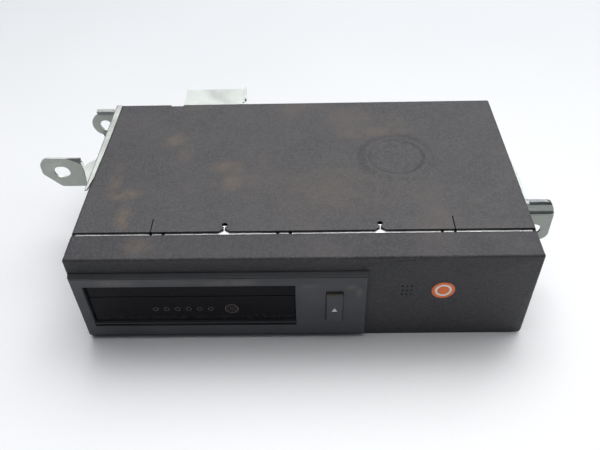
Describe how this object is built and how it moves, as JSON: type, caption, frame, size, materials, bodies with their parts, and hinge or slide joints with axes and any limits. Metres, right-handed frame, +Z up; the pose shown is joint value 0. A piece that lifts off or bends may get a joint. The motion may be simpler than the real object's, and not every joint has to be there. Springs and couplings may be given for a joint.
{
  "type": "car cd changer",
  "caption": "Magazine-type car CD changer: flat dark case with a recessed flap, an eject button, plated mounting ears and a lifting play deck inside.",
  "frame": {"origin": "centre of the case's underside, midway between its front face and the rear edge of its cover", "axes": "+X to the right seen from the front, +Y to the back, +Z up"},
  "size_m": [0.3461, 0.1964, 0.073],
  "materials": {
    "textured_paint": "coarse matt textured coating",
    "textured_bezel": "coarse matt texture",
    "panel_plastic": "smooth satin",
    "flap_plastic": "glossy, nearly black",
    "button_plastic": "satin",
    "mark_print": "print",
    "label_paper": "orange label",
    "zinc": "zinc plated",
    "zinc_bright": "bright zinc plated",
    "screw_steel": "plated",
    "spring_steel": "spring steel",
    "black_plastic": "moulded",
    "white_plastic": "moulded, natural",
    "contact_brass": "tinned",
    "board": "solder resist",
    "chip": "moulded",
    "capacitor": "sleeve",
    "motor_can": "can",
    "isolator_rubber": "soft rubber",
    "lens_glass": "coated lens",
    "cable_film": "flat film",
    "shaft_steel": "ground"
  },
  "bodies": {
    "case": {"rear_cover": "textured_paint", "chassis_tray": "zinc", "front_frame": "zinc_bright", "front_bezel": "textured_bezel", "front_panel": "panel_plastic", "pivot_pins": "shaft_steel", "door_spring": "spring_steel", "button_spring": "spring_steel", "round_label": "label_paper", "left_bracket": "zinc", "right_bracket": "zinc", "rear_bracket": "zinc_bright", "cover_screws": "screw_steel", "bracket_screws": "screw_steel", "bezel_screws": "screw_steel", "rear_connector": "black_plastic", "connector_pins": "contact_brass", "main_pcb": "board", "pcb_chips": "chip", "pcb_capacitors": "capacitor", "pcb_sockets": "white_plastic", "bay_floor": "zinc", "bay_left_wall": "zinc", "bay_right_wall": "zinc", "bay_back_wall": "zinc", "bay_roof": "zinc", "magazine_guides": "white_plastic", "pusher_spring": "spring_steel", "front_guide_plate": "zinc", "rear_guide_plate": "zinc", "lift_gearmotor": "black_plastic", "flat_cable": "cable_film"},
    "flap": {"magazine_door": "flap_plastic"},
    "button": {"eject_button": "button_plastic", "eject_mark": "mark_print"},
    "catch": {"magazine_catch": "zinc"},
    "pusher": {"magazine_pusher": "black_plastic"},
    "cams": {"front_cam_plate": "zinc", "rear_cam_plate": "zinc", "cam_link": "zinc"},
    "pinion": {"lift_pinion": "white_plastic"},
    "lift": {"lift_frame": "zinc", "lift_pins": "shaft_steel", "isolators": "isolator_rubber", "isolator_screws": "screw_steel", "deck_plate": "zinc", "spindle_motor": "motor_can", "sled_rails": "shaft_steel", "sled_motor": "motor_can", "clamp_pivot": "shaft_steel", "transfer_rod": "shaft_steel", "transfer_motor": "motor_can"},
    "spindle": {"turntable": "black_plastic"},
    "sled": {"optical_sled": "black_plastic", "pickup_lens": "lens_glass"},
    "sled_screw": {"lead_screw": "shaft_steel"},
    "clamp": {"clamp_arm": "zinc"},
    "clamp_disc": {"clamper": "black_plastic"},
    "transfer": {"transfer_slider": "white_plastic"},
    "transfer_spindle": {"transfer_screw": "shaft_steel"}
  },
  "joints": [
    {"name": "flap_hinge", "type": "hinge", "parent": "case", "child": "flap", "pos_m": [-0.0685, -0.07515, 0.053], "axis": [1, 0, 0], "range_deg": [0, 90], "stiffness_Nm_per_rad": 0.004, "springref_deg": -28.65, "deforming": ["door_spring"]},
    {"name": "button_press", "type": "slide", "parent": "case", "child": "button", "axis": [0, 1, 0], "range_m": [0, 0.003], "stiffness_N_per_m": 250, "springref_m": -0.003, "deforming": ["button_spring"]},
    {"name": "catch_turn", "type": "hinge", "parent": "case", "child": "catch", "pos_m": [0.008, -0.05775, 0.028], "axis": [0, 0, 1], "range_deg": [0, 15]},
    {"name": "pusher_slide", "type": "slide", "parent": "case", "child": "pusher", "axis": [0, 1, 0], "range_m": [0, 0.01], "stiffness_N_per_m": 120, "springref_m": -0.008, "deforming": ["pusher_spring"]},
    {"name": "lift_slide", "type": "slide", "parent": "case", "child": "lift", "axis": [0, 0, 1], "range_m": [0, 0.024], "deforming": ["flat_cable"]},
    {"name": "cam_slide", "type": "slide", "parent": "case", "child": "cams", "axis": [1, 0, 0], "range_m": [0, 0.032]},
    {"name": "pinion_spin", "type": "hinge", "parent": "case", "child": "pinion", "pos_m": [0.1, -0.05235, 0.0492], "axis": [0, -1, 0], "range_deg": [0, 306]},
    {"name": "spindle_spin", "type": "hinge", "parent": "lift", "child": "spindle", "pos_m": [0.0635, 0.01275, 0.015], "axis": [0, 0, 1], "continuous": true},
    {"name": "sled_slide", "type": "slide", "parent": "lift", "child": "sled", "axis": [1, 0, 0], "range_m": [0, 0.034]},
    {"name": "sled_screw_spin", "type": "hinge", "parent": "lift", "child": "sled_screw", "pos_m": [0.1, 0.03825, 0.0124], "axis": [1, 0, 0], "range_deg": [0, 4082]},
    {"name": "clamp_lift", "type": "hinge", "parent": "lift", "child": "clamp", "pos_m": [0.1315, 0.01275, 0.027], "axis": [0, 1, 0], "range_deg": [0, 6]},
    {"name": "clamper_spin", "type": "hinge", "parent": "clamp", "child": "clamp_disc", "pos_m": [0.0635, 0.01275, 0.025], "axis": [0, 0, 1], "continuous": true},
    {"name": "transfer_slide", "type": "slide", "parent": "lift", "child": "transfer", "axis": [1, 0, 0], "range_m": [0, 0.1]},
    {"name": "transfer_screw_spin", "type": "hinge", "parent": "lift", "child": "transfer_spindle", "pos_m": [0.06, 0.07075, 0.0104], "axis": [1, 0, 0], "range_deg": [0, 3001]}
  ],
  "couplings": [
    {"joint": "catch_turn", "follows": "button_press", "rad_per_m": 87.2},
    {"joint": "cam_slide", "follows": "lift_slide", "ratio": 1.3333},
    {"joint": "pinion_spin", "follows": "lift_slide", "rad_per_m": 222.22},
    {"joint": "sled_screw_spin", "follows": "sled_slide", "rad_per_m": 2094.4},
    {"joint": "transfer_screw_spin", "follows": "transfer_slide", "rad_per_m": 523.6}
  ]
}
